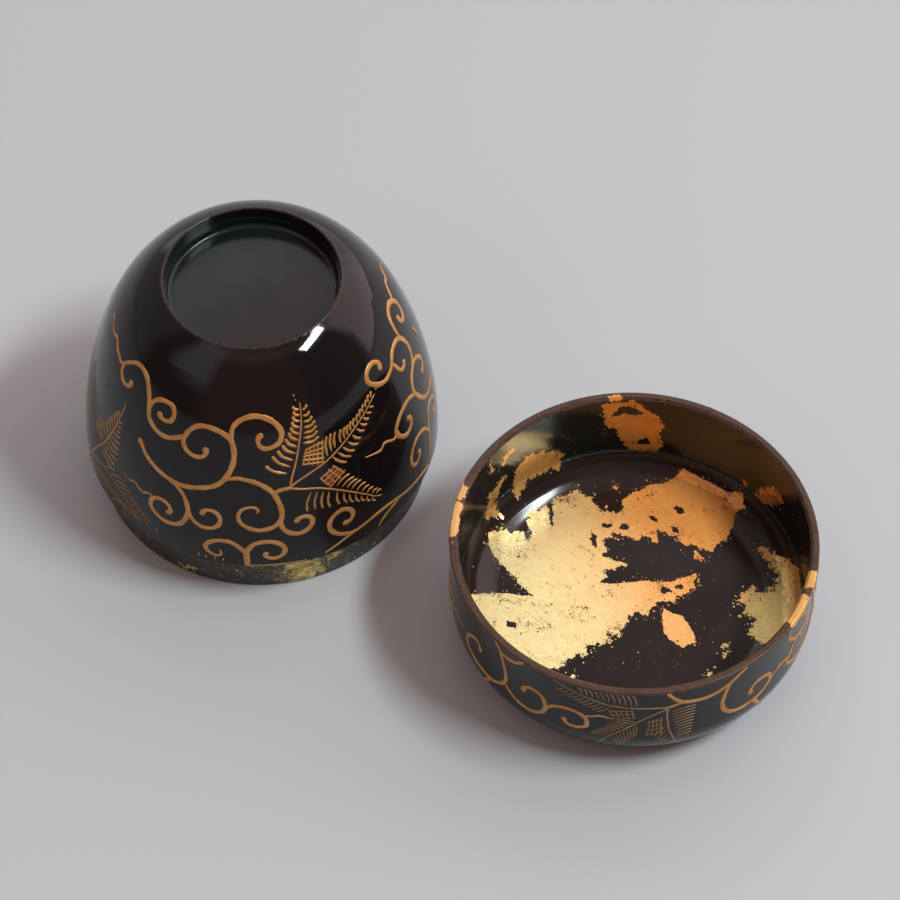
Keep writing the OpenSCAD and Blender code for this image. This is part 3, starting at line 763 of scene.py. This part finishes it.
def leaf(surface, outline, holes=(), spacing=1.3, thick=0.03):
    """A closed thin shell over a flat outline with holes: the outline is filled with triangles, carried
    to the surface at +thick and, turned over, just below it, and walled along its edges."""
    low, high = outline.min(0), outline.max(0)
    gx, gy = np.meshgrid(np.arange(low[0], high[0], spacing), np.arange(low[1], high[1], spacing))
    gx = gx + (np.arange(len(gx)) % 2)[:, None] * spacing / 2
    seeds = np.column_stack([gx.ravel(), gy.ravel()])
    seeds = seeds[inside(seeds, outline)] if len(seeds) else seeds
    loops = [outline, *holes]
    points = np.vstack([*loops, seeds])
    edges, start = [], 0
    for loop in loops:
        edges += [(start + i, start + (i + 1) % len(loop)) for i in range(len(loop))]
        start += len(loop)
    flat, _, tris, *_ = delaunay_2d_cdt([Vector(p) for p in points.tolist()], edges, [], 0, 1e-5)
    flat, tris = np.array([tuple(p) for p in flat]), np.array([list(t) for t in tris])
    middle = flat[tris].mean(1)
    keep = inside(middle, outline)
    for hole in holes:
        box = (np.abs(middle - hole.mean(0)).max(1) < np.ptp(hole, 0).max()) & keep
        keep[box] &= ~inside(middle[box], hole)
    tris = tris[keep]
    a, b, c = (flat[tris[:, i]] for i in range(3))
    turn_way = (b - a)[:, 0] * (c - a)[:, 1] - (b - a)[:, 1] * (c - a)[:, 0]
    tris = np.where((turn_way > 0)[:, None], tris, tris[:, ::-1])[np.abs(turn_way) > 1e-9]
    used, tris = np.unique(tris, return_inverse=True)
    flat, tris = flat[used], tris.reshape(-1, 3)
    pairs = np.concatenate([tris[:, [0, 1]], tris[:, [1, 2]], tris[:, [2, 0]]])
    code, back = pairs[:, 0] * len(flat) + pairs[:, 1], pairs[:, 1] * len(flat) + pairs[:, 0]
    rim = pairs[~np.isin(code, back)]
    n = len(flat)
    walls = np.stack([rim[:, 0], rim[:, 0] + n, rim[:, 1] + n, rim[:, 1]], -1)
    faces = tris.tolist() + (tris[:, ::-1] + n).tolist() + walls.tolist()
    if not right_handed(surface, flat[0, 0], flat[0, 1]):
        faces = [face[::-1] for face in faces]
    edge = np.zeros(n)
    edge[np.unique(rim)] = 1
    return (np.vstack([surface(flat[:, 0], flat[:, 1], thick), surface(flat[:, 0], flat[:, 1], -0.01)]),
            faces, np.tile(edge, 2))


red, add, join = finish("fruit_red_lacquer", (0.12, 0.02, 0.008, 1), 0.25)
place = axis_place(add)
mottle = add("TexNoise", {"Vector": place, "Scale": 1.8, "Detail": 4})[0]
shade = blend_colour(add, ease(add, mottle, 0.35, 0.65), (0.05, 0.010, 0.005, 1), (0.23, 0.055, 0.016, 1))
join(Base_Color=shade, Roughness=ease(add, mottle, 0.3, 0.7, 0.2, 0.4))
fields = [leaf(body_side, torn([(a + by, s * low, 0.6) for a, s in corners], 0.12), (), 1.2)
          for by, low in ((0, 1), (ROUND, LOWER)) for corners, *_ in fruit_fields[1:]]
piece("body_fruit_ground", fields, red, "body", False)

# ---------------------------------------------------------------------------------------------
# Gold leaf inside the lid. Sheets of beaten gold were pressed on sticky lacquer. They have torn into
# ragged patches with pinholes, cracks and crumbs along the edges.

BORE, WELL, FILLET, FLOOR = 31.4, 28.0, 3.4, 6.0        # radii of wall, floor and fillet, and floor's height


def lid_inside(x, y, lift):
    """The lid's inside rolled out flat. Within 28 mm of the axis it is the floor, then the length of the
    fillet's quarter circle, and beyond that the wall, straight up."""
    far = np.maximum(np.hypot(x, y), 1e-9)
    bend = np.clip((far - WELL) / FILLET, 0, math.pi / 2)
    wall = np.maximum(far - WELL - FILLET * math.pi / 2, 0)
    r = np.minimum(far, WELL) + (FILLET - lift) * np.sin(bend)
    z = FLOOR + lift + (FILLET - lift) * (1 - np.cos(bend)) + wall
    return MM * np.stack([LID_X / MM + r * x / far, r * y / far, z], -1)


def lid_wall(x, z, lift):
    """The lid's inside wall by height: x is the bearing in radians times the bore. Below the wall's foot it
    follows the fillet."""
    bearing = x / BORE
    a = np.arcsin(np.clip((FLOOR + FILLET - z) / FILLET, 0, 0.999))
    r = WELL + (FILLET - lift) * np.cos(a)
    z = np.where(a > 0, FLOOR + FILLET - (FILLET - lift) * np.sin(a), z)
    return MM * np.stack([LID_X / MM + r * np.cos(bearing), r * np.sin(bearing), z], -1)


NO_FILL = 5         # a spacing wider than any crumb, which then has no points inside its outline


def blot(x, y, size, corners, squash=1.0, angle=0.0):
    """A small uneven outline, for a pinhole or a crumb."""
    a = np.sort(draw.uniform(0, 2 * math.pi, corners))
    r = size * draw.uniform(0.55, 1.2, corners)
    u, v = r * np.cos(a), r * np.sin(a) * squash
    return np.column_stack([x + u * math.cos(angle) - v * math.sin(angle),
                            y + u * math.sin(angle) + v * math.cos(angle)])


def patch(surface, outline, rough, cuts, pins, crumbs, pin_size, spacing=1.3, thick=0.03):
    """A torn leaf: its own ragged outline, given cuts, random pinholes mostly near its edge, and loose
    crumbs just outside it."""
    edge = torn(outline, rough)
    holes = [torn(cut, rough * 0.5) for cut in cuts]
    tried = edge[draw.integers(0, len(edge), pins)] + draw.normal(0, 1, (pins, 2)) * np.where(
        draw.random((pins, 1)) < 0.65, 1.1, 0.18 * np.ptp(edge, 0).mean())
    tried = tried[inside(tried, edge)]
    placed = np.zeros((0, 3))
    for x, y in tried:
        size = pin_size * draw.lognormal(-0.3, 0.45)
        if len(placed) and (np.hypot(placed[:, 0] - x, placed[:, 1] - y) < placed[:, 2] + 1.6 * size).any():
            continue
        if np.hypot(edge[:, 0] - x, edge[:, 1] - y).min() < 1.5 * size:
            continue
        placed = np.vstack([placed, (x, y, 1.6 * size)])
        holes.append(blot(x, y, size, 7, draw.uniform(0.4, 1), draw.uniform(0, 3.14)))
    shells = [leaf(surface, edge, holes, spacing, thick)]
    where = edge[draw.integers(0, len(edge), crumbs)] + draw.normal(0, 0.55, (crumbs, 2))
    where = where[where[:, 1] > edge[:, 1].min() - 0.6]
    for x, y in where[~inside(where, edge)]:
        shells.append(leaf(surface, blot(x, y, 0.13 * draw.lognormal(-0.2, 0.5), 7), (), NO_FILL))
    return shells


S = 0.12            # a cleaner edge, where the sheet was cut or folded and not torn
main_leaf = [
    (-29.7, 0.3, S), (-28, 1.8), (-26, 3), (-23, 3.2), (-22.5, 4), (-24.5, 6), (-25.8, 7.5), (-24, 9),
    (-24.3, 10.8), (-22.8, 11), (-22.5, 13), (-21.8, 15), (-20, 16.3), (-16.5, 16.8), (-15.5, 15.8),
    (-14.3, 14.5), (-12, 15.8), (-10, 16.8), (-11, 18, 0.5), (-11.7, 19.2, 0.5), (-10.3, 21.5, 0.5),
    (-9.3, 23.5, 0.5), (-7, 26, 0.5), (-6, 26.8, 0.3), (-5.3, 28.3, S), (-4.8, 30.5, S), (0, 30.2, S),
    (5, 29.8, S), (8, 30.8, 0.5), (9.3, 28.3, 0.6), (8, 27.5, 0.6), (9.1, 24, 0.4), (9.2, 20, 0.4),
    (8.3, 17.5), (7.5, 16.3), (2, 15.7), (0.5, 16.2), (-2.5, 16.3), (-1.8, 15), (-2, 13.8), (-4, 13.5),
    (-5, 12.5), (-8.5, 11.6), (-9.8, 12), (-9.5, 10.8), (-10.3, 9.8), (-9, 7.5), (-9.5, 6.2),
    (-4.2, 6.3, 0.5), (-5.8, 4), (-6.5, 2.5), (-6.5, 0.3, 0.4), (-3, 2.2, S), (0, 4.5, S),
    (4.8, 6.8, 0.3), (6, 8.5, 0.4), (8, 10.7, 0.4), (9, 8.8), (8.3, 5.5), (6.5, 3), (4.8, 1.6), (4.2, -1),
    (2.8, -2.3), (1.5, -4), (2, -8.5), (0.2, -9), (1, -10.5), (-2, -13), (-1.8, -14.3), (-4, -18),
    (-5.5, -23), (-8, -28, 0.6), (-12, -28.5, 0.4), (-17, -25.5, S), (-22, -21.5, S), (-26, -17.5, S),
    (-28, -14.6, S), (-25.5, -13.2, S), (-23, -11.2, S), (-20, -9.8, S), (-15.6, -8.2, 0.3),
    (-18.5, -7.3, 0.4), (-22, -5.5, 0.4), (-25.5, -4.2, 0.4), (-28.5, -2, S)]
cracks = [
    [(-2.4, 22.5), (-1.2, 23), (-0.2, 22), (-1, 21.4), (-2.2, 21.7)],
    [(-5.9, 18.2), (-4.6, 18.4), (-3.9, 17.7), (-5.2, 17.5)],
    [(-0.9, 18.2), (0.6, 18.3), (1.1, 17.4), (-0.3, 17.2)],
    [(-9.3, 14.4), (-7.4, 14.3), (-7.2, 13.2), (-9, 13)],
    [(-17.6, -15.2), (-15.8, -14.9), (-15.3, -15.9), (-17, -16.3)],
    [(-23, 12), (-22.2, 11.8), (-21.2, 9.4), (-20.2, 7.6), (-20.6, 7.3), (-21.9, 9.2)],
    [(-13.6, 10.2), (-12.2, 9.2), (-10.4, 7.3), (-10.8, 6.9), (-12.6, 8.3)],
    [(-12.2, 12.6), (-10.9, 12.9), (-10.6, 11.9), (-11.9, 11.5)],
    [(3.6, 5), (5.2, 5.6), (6, 4.9), (4.8, 3.9)], [(5.8, 7), (7, 7.4), (7.3, 6.3), (6.2, 6)]]
leaf_right = [
    (15.3, 20.8), (16.2, 21.8), (19.5, 21.6, 0.5), (22, 21.3, 0.4), (25, 20, 0.3), (28, 15.5, 0.3),
    (30.2, 11, 0.4), (30.8, 6.5, 0.4), (29.6, 2.6), (27, 3.6), (25.5, 3, 0.6), (22.3, 3.2, 0.5),
    (22, 7, 0.5), (20, 7.5), (18.7, 8.2), (17, 11.2), (18.3, 13), (20, 12.5), (22.3, 14.3), (22, 15.8),
    (20, 18.8), (17.5, 19.8)]
islands = [
    [(5.6, 15.3), (8, 14.3), (7.5, 13.6), (6.2, 13.4), (6, 14.2)],
    [(6, 1.2), (6.8, -0.5, 0.5), (8.5, -3.5, 0.6), (10.5, -4.6, 0.7), (13, -4.9), (14, -3.8),
     (14.8, -2.6), (13.4, -1.2), (12.5, -0.5), (11.5, 0.6), (9.5, 1, 0.6), (7.6, 0.9, 0.6)],
    [(19.3, -0.5), (20.3, -0.4), (20.4, -1.2), (19.6, -1.5)],
    [(20, -2.3), (20.9, -2.5), (20.8, -3.4), (20.2, -3.2)],
    [(19.4, -7.3), (20, -7.2), (20.1, -8.2), (19.7, -8.3)],
    [(-14.3, 21.2), (-13.3, 21.3), (-13.4, 20.8), (-14.1, 20.7)],
    [(-1.6, -19.5), (-0.9, -19.7), (-1.1, -22.2), (-1.6, -21.6)]]

leaf_gold, add, join = finish("beaten_gold_leaf", (1, 0.75, 0.38, 1), 0.3, 0.3)
place = axis_place(add, LID_X)
out, _ = out_and_up(add, place)
axes = add("SeparateXYZ", {0: place})
edge = add("Attribute", attribute_name="edge")[2]
wrinkle = add("TexNoise", {"Vector": place, "Scale": 0.5, "Detail": 5, "Roughness": 0.65,
                           "Distortion": 0.6})[0]
pulled = add("Mapping", {0: place, 2: (0, 0, 0.35), 3: (0.5, 2.2, 1)})[0]
crease = add("TexNoise", {"Vector": pulled, "Scale": 0.9, "Detail": 6, "Roughness": 0.7})[0]
pin = add("TexNoise", {"Vector": place, "Scale": 3.2, "Detail": 3, "Roughness": 0.65})[0]
drift = add("TexNoise", {"Vector": place, "Scale": 0.12, "Detail": 3})[0]
# Warmer towards the far side of the lid, greener to the right, and darker and redder by the wall: painted
# shade.
warm = ease(add, maths(add, "ADD", maths(add, "ADD", axes[1], maths(add, "MULTIPLY", drift, 16)),
                       maths(add, "MULTIPLY", axes[0], 0.8)), -14, 27)
green = ease(add, axes[0], 12, 22)
tone = blend_colour(add, warm, (1.0, 0.86, 0.42, 1), (0.98, 0.39, 0.085, 1))
tone = blend_colour(add, maths(add, "MULTIPLY", green, ease(add, axes[1], 27, 20, 0, 1)), tone,
                    (0.86, 0.72, 0.26, 1))
tone = blend_colour(add, ease(add, crease, 0.35, 0.62, 0.3, 0), tone, (0.92, 0.50, 0.14, 1))
tone = blend_colour(add, maths(add, "MULTIPLY", ease(add, out, 27.5, 30.5), 0.75), tone,
                    (0.58, 0.24, 0.045, 1))
sparse = add("TexNoise", {"Vector": place, "Scale": 0.24, "Detail": 3})[0]
worn = maths(add, "ADD", pin, maths(add, "MULTIPLY", ease(add, sparse, 0.45, 0.68), 0.12))
worn = ease(add, maths(add, "ADD", worn, maths(add, "MULTIPLY", edge, 0.08)), 0.69, 0.735)
tone = blend_colour(add, worn, tone, (0.05, 0.02, 0.008, 1))
bump = add("Bump", {"Strength": 0.5, "Distance": 0.001, "Height": maths(
    add, "ADD", maths(add, "MULTIPLY", wrinkle, 0.05), maths(add, "MULTIPLY", crease, 0.03))})[0]
join(Base_Color=tone, Metallic=ease(add, worn, 0, 1, 0.38, 0), Normal=bump,
     Roughness=ease(add, wrinkle, 0.3, 0.7, 0.2, 0.38))

piece("leaf_main", patch(lid_inside, main_leaf, 0.30, cracks, 1500, 760, 0.16), leaf_gold, "lid",
      False)
piece("leaf_right", patch(lid_inside, leaf_right, 0.34, (), 300, 330, 0.16), leaf_gold, "lid",
      False)
loose = [s for outline in islands for s in patch(lid_inside, outline, 0.16, (), 40, 14, 0.13)]
piece("leaf_islands", loose, leaf_gold, "lid", False)

# Leaf on the lid's inside wall, by bearing in degrees and height.
TURN = math.radians(BORE)       # millimetres along the wall in one degree


def on_wall(points):
    """Bearings in degrees made into distances along the wall."""
    return [(a * TURN, z, *rest) for a, z, *rest in points]


wall_leaves = {
    "leaf_wall_back": (
        [(122, 24.3), (128, 23.6, 0.4), (127.5, 22), (128, 20.3), (127, 18.5, 0.5), (125.5, 16.5, 0.5),
         (123, 15.3), (121.5, 14), (121, 12), (119, 10.3, 0.4), (117.5, 9.4, 0.3), (113, 9.2, 0.3),
         (108.3, 9.7, 0.4), (106.7, 11.5, 0.5), (107.8, 14, 0.5), (107.5, 17.3), (106.3, 17.8),
         (109, 20.2, 0.4), (113.5, 22, 0.4), (114, 23.2), (119, 24.2)],
        [[(114, 21), (115.5, 21.7), (118.5, 22.6), (121.5, 22.7), (124.3, 21), (124.5, 19.8), (121, 20.4),
          (117, 20), (115, 20.2)],
         [(111, 11.3), (111.8, 12.8), (113, 13.8), (114.3, 12.6), (115.8, 11.6), (113.5, 11.1)]], 90, 60),
    "leaf_wall_left": (
        [(141, 11.3), (142.5, 8.5), (144, 7.8), (149, 8.3), (157.5, 8), (159, 6.7), (162, 6.6),
         (161.5, 10.5), (160, 13.5), (158.5, 15), (156, 15.7), (153, 15), (149, 14.8), (145, 13)],
        [], 60, 60),
    "leaf_wall_glint": ([(162.5, 20.8), (165, 21.3), (167, 20.5), (166, 18.3), (163.5, 19.3)], [], 6, 20),
    "leaf_wall_streak": ([(173, 23.5), (173.8, 22), (173, 19), (172, 19.2), (172.3, 21.5)], [], 0, 20),
    "leaf_wall_shreds": (
        [(165, 14.3), (168, 12), (170, 9.6), (171, 6.7), (176, 7.1), (176.5, 9), (175, 11), (173.8, 13),
         (171, 13.5), (168, 14.6)], [], 120, 60),
    "leaf_wall_right": (
        [(56.5, 15.5), (57.5, 17), (62, 17.2), (66, 14.5), (68.5, 12), (70.5, 9.9), (67, 9.4), (63.5, 10.2),
         (61, 12.3)], [], 70, 60),
    "leaf_wall_flake": ([(73.8, 10.6), (75.6, 11), (75.8, 9.6), (74, 9.4)], [], 0, 14),
}
for name, (outline, cuts, pins, crumbs) in wall_leaves.items():
    shells = patch(lid_wall, on_wall(outline), 0.3, [on_wall(c) for c in cuts], pins, crumbs, 0.16)
    piece(name, shells, leaf_gold, "lid", False)

# Dust of leaf: hundreds of tiny crumbs over the floor and a few on the wall.
specks = []
for x, y in draw.normal(0, 15, (240, 2)):
    if math.hypot(x, y) < 30:
        specks.append(leaf(lid_inside, blot(x, y, 0.09 * draw.lognormal(0, 0.4), 6), (), NO_FILL))
for a, z in np.column_stack([draw.uniform(0, 360, 90), draw.uniform(10, 24, 90)]):
    specks.append(leaf(lid_wall, blot(a * TURN, z, 0.10 * draw.lognormal(0, 0.4), 6), (), NO_FILL))
piece("leaf_specks", specks, leaf_gold, "lid", False)

# ---------------------------------------------------------------------------------------------
# Remains of leaf on the lid's rim and on the collar. The same leaf was carried over both edges, and
# sliding the lid on and off has rubbed it away but for a few bright scraps.

# The rim's section from the bore over the top to the outside, and the way out of it at each point.
RIM = np.array([(31.4, 22.5), (31.4, 24.5), (31.9, 25), (32.7, 25), (32.92, 24.9), (33, 24.7), (33, 22)])
RIM_OUT = np.array([(-1, 0), (-0.92, 0.38), (-0.38, 0.92), (0, 1), (0.55, 0.83), (0.99, 0.1), (1, 0)])
RIM_RUN = np.concatenate([[0], np.cumsum(np.hypot(*np.diff(RIM, axis=0).T))])


def lid_rim(x, run, lift):
    """Over the rim, from 2.5 mm down the bore to 3 mm down the outside: the section's points joined by
    straight lines. x is the bearing in radians times the bore."""
    bearing = x / BORE
    r, z = (np.interp(run, RIM_RUN, RIM[:, i]) + lift * np.interp(run, RIM_RUN, RIM_OUT[:, i])
            for i in (0, 1))
    return MM * np.stack([LID_X / MM + r * np.cos(bearing), r * np.sin(bearing), z], -1)


COLLAR = 31         # about the collar's radius: a distance round it is this times the angle in radians


def collar_side(x, z, lift):
    """The collar's outside, which narrows by 0.3 mm from the shoulder to the lip. x is the distance
    round it from the middle of the front."""
    r = 31.15 - 0.3 * (COLLAR_H - z) / 8.4 + lift
    return around(BODY_X, np.degrees(x / COLLAR), r, z)


scraps = []
for low, high, inner, outer, holes in ((121, 125.5, 1.9, 3.6, 3), (187, 193.5, 2.3, 5.0, 10),
                                       (194, 208.5, 2.0, 5.4, 18), (-6, 7.5, 1.9, 5.0, 18),
                                       (9, 17, 1.5, 4.2, 8)):
    half_way = (inner + outer) / 2
    outline = [(low * TURN, half_way), (low * TURN + 0.6, outer - 0.4),
               ((low * 0.6 + high * 0.4) * TURN, outer), (high * TURN - 0.4, outer - 0.7),
               (high * TURN, half_way), (high * TURN - 0.5, inner + 0.3),
               ((low * 0.4 + high * 0.6) * TURN, inner), (low * TURN + 0.4, inner + 0.2)]
    scraps += patch(lid_rim, outline, 0.2, (), holes, 26, 0.12, 0.2, 0.05)
piece("leaf_rim", scraps, leaf_gold, "lid", False)

collar_gold, add, join = finish("collar_gold_scraps", (0.8, 0.62, 0.22, 1), 0.38, 0.6)
place = axis_place(add, BODY_X)
pin = add("TexNoise", {"Vector": place, "Scale": 3.4, "Detail": 4, "Roughness": 0.7})[0]
cloud = add("TexNoise", {"Vector": place, "Scale": 0.7, "Detail": 3})[0]
tone = blend_colour(add, ease(add, cloud, 0.35, 0.65), (0.50, 0.36, 0.10, 1), (0.86, 0.70, 0.30, 1))
tone = blend_colour(add, ease(add, pin, 0.56, 0.62), tone, (0.05, 0.045, 0.02, 1))
bump = add("Bump", {"Strength": 0.4, "Distance": 0.001, "Height": maths(add, "MULTIPLY", pin, 0.05)})[0]
join(Base_Color=tone, Normal=bump, Roughness=ease(add, cloud, 0.3, 0.7, 0.3, 0.5))
scraps = []
for outline, holes, crumbs in (
        ([(8.5, 6.2), (10, 7.8), (14, 8.1), (17.5, 7.6), (17, 5.6), (13, 5), (10, 5.1)], 60, 90),
        ([(11.5, 2.2), (12.5, 4.9), (16, 5.2), (20, 4.4), (21, 2.8), (18.5, 1.5), (14, 1.4)], 70, 110),
        ([(-4, 7.3), (2, 7.7), (8, 7.6), (8, 7.1), (2, 7), (-4, 6.9)], 10, 40),
        ([(24, 5.5), (26, 6.6), (28.5, 6), (27, 4.6)], 14, 40),
        ([(31, 6.9), (33.5, 7.6), (36, 6.6), (33, 5.8)], 14, 40),
        ([(40, 7.6), (44, 8.1), (47, 7), (43, 6.4)], 14, 40),
        ([(55, 6.5), (60, 7.8), (66, 7.2), (61, 5.6)], 20, 50),
        ([(-30, 1.8), (-26, 2.7), (-22, 2.2), (-26, 1.5)], 10, 30),
        ([(160, 3), (166, 6.2), (173, 5), (168, 2)], 60, 60),
        ([(236, 5), (241, 7.4), (247, 6.5), (243, 4)], 40, 50)):
    outline = [(math.radians(a) * COLLAR, z) for a, z in outline]
    scraps += patch(collar_side, outline, 0.34, (), holes, crumbs, 0.14)
for a, z in np.column_stack([draw.normal(12, 22, 300), draw.uniform(1, 8.4, 300)]):
    flake = blot(math.radians(a) * COLLAR, z, 0.09 * draw.lognormal(0, 0.5), 6)
    scraps.append(leaf(collar_side, flake, (), NO_FILL))
piece("collar_scraps", scraps, collar_gold, "body", False)
